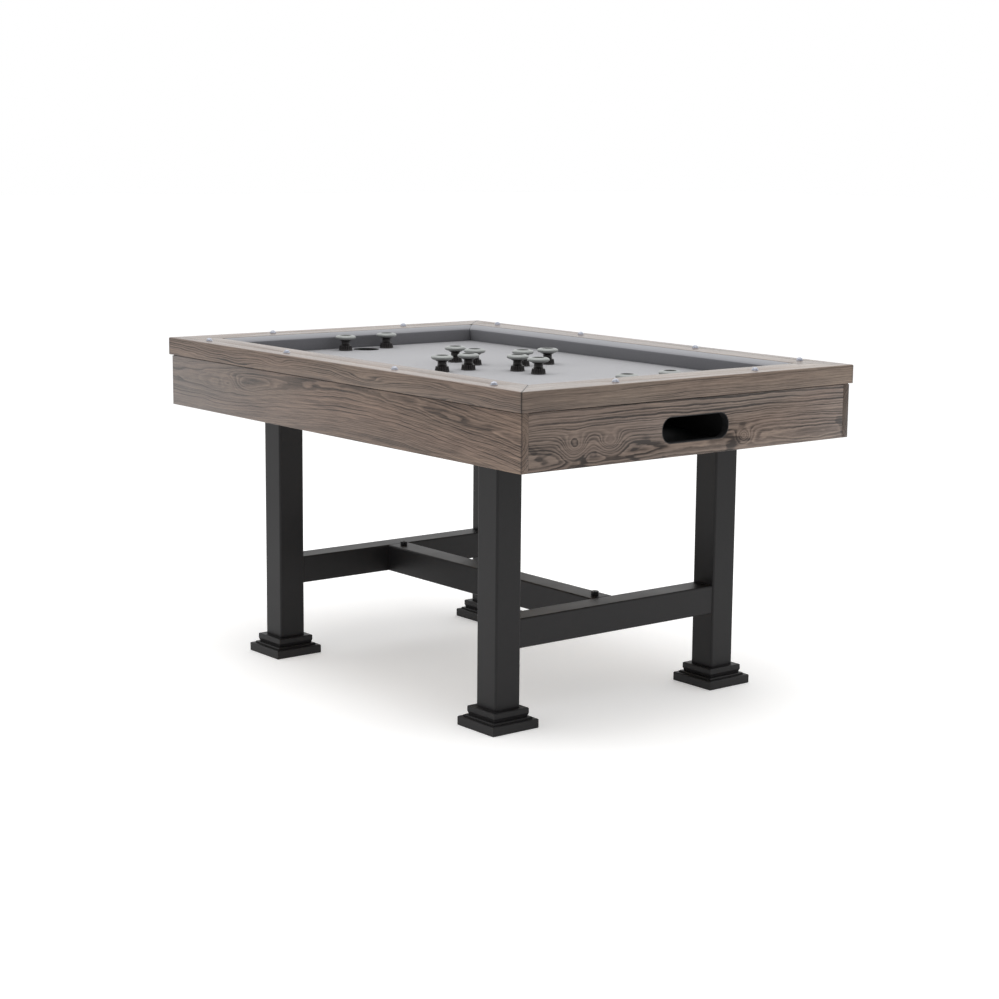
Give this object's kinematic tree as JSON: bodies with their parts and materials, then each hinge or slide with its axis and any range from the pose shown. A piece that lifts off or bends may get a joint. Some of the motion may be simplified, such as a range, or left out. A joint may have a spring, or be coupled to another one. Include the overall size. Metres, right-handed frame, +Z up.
{
  "type": "bumper pool table",
  "caption": "Rectangular bumper pool table: slate bed with rubber-ringed posts, end pockets with ball-return slots, timber cabinet and square black legs tied by stretchers.",
  "frame": {"origin": "on the floor, under the middle of the table", "axes": "+X along the table towards one ball-return end, +Y across it, +Z up; the table is the same turned half round"},
  "size_m": [1.422, 0.991, 0.795],
  "materials": {
    "rail_wood": "weathered grey-brown oak, satin",
    "cabinet_wood": "weathered grey-brown oak, satin",
    "inner_wood": "plain pine, unfinished",
    "cushion_rubber": "moulded",
    "cushion_cloth": "grey wool cloth",
    "bed_cloth": "pale grey wool cloth",
    "slate": "honed slate",
    "pearl": "polished pearl domes",
    "post_plastic": "ribbed moulding",
    "ring_rubber": "pale grey moulded rubber",
    "black_plastic": "matt black",
    "frame_steel": "satin black powder coat",
    "foot_steel": "satin black powder coat",
    "leveler_plastic": "moulded",
    "black_steel": "black oxide",
    "zinc_steel": "zinc plated"
  },
  "bodies": {
    "table": {"rail_front": "rail_wood", "rail_back": "rail_wood", "rail_left": "rail_wood", "rail_right": "rail_wood", "cushion_front": "cushion_rubber", "cushion_back": "cushion_rubber", "cushion_left": "cushion_rubber", "cushion_right": "cushion_rubber", "cushion_cloth_front": "cushion_cloth", "cushion_cloth_back": "cushion_cloth", "cushion_cloth_left": "cushion_cloth", "cushion_cloth_right": "cushion_cloth", "sights": "pearl", "apron_front": "cabinet_wood", "apron_back": "cabinet_wood", "apron_left": "cabinet_wood", "apron_right": "cabinet_wood", "slate_bed": "slate", "bed_cloth": "bed_cloth", "cross_beams": "inner_wood", "slate_ledgers": "inner_wood", "corner_blocks": "inner_wood", "rail_bolts": "zinc_steel", "ball_tray_left": "black_plastic", "ball_tray_right": "black_plastic", "slot_liner_left": "black_plastic", "slot_liner_right": "black_plastic", "pocket_liner_left": "black_plastic", "pocket_liner_right": "black_plastic", "bumper_posts_cross": "post_plastic", "bumper_posts_left": "post_plastic", "bumper_posts_right": "post_plastic", "bumper_rings_cross": "ring_rubber", "bumper_rings_left": "ring_rubber", "bumper_rings_right": "ring_rubber", "bumper_bolts": "zinc_steel", "bumper_nuts": "zinc_steel", "leg_front_left": "frame_steel", "leg_front_right": "frame_steel", "leg_back_left": "frame_steel", "leg_back_right": "frame_steel", "leg_plates": "frame_steel", "leg_screws": "zinc_steel", "foot_front_left": "foot_steel", "foot_front_right": "foot_steel", "foot_back_left": "foot_steel", "foot_back_right": "foot_steel", "leveler_nuts": "zinc_steel", "end_stretcher_left": "frame_steel", "end_stretcher_right": "frame_steel", "center_stretcher": "frame_steel", "stretcher_tongues": "frame_steel", "stretcher_bolts": "black_steel", "stretcher_nuts": "zinc_steel"},
    "leveler_front_left": {"leveler_front_left": "leveler_plastic"},
    "leveler_front_right": {"leveler_front_right": "leveler_plastic"},
    "leveler_back_left": {"leveler_back_left": "leveler_plastic"},
    "leveler_back_right": {"leveler_back_right": "leveler_plastic"}
  },
  "joints": [
    {"name": "level_front_left", "type": "slide", "parent": "table", "child": "leveler_front_left", "axis": [0, 0, -1], "range_m": [0, 0.012]},
    {"name": "level_front_right", "type": "slide", "parent": "table", "child": "leveler_front_right", "axis": [0, 0, -1], "range_m": [0, 0.012]},
    {"name": "level_back_left", "type": "slide", "parent": "table", "child": "leveler_back_left", "axis": [0, 0, -1], "range_m": [0, 0.012]},
    {"name": "level_back_right", "type": "slide", "parent": "table", "child": "leveler_back_right", "axis": [0, 0, -1], "range_m": [0, 0.012]}
  ]
}
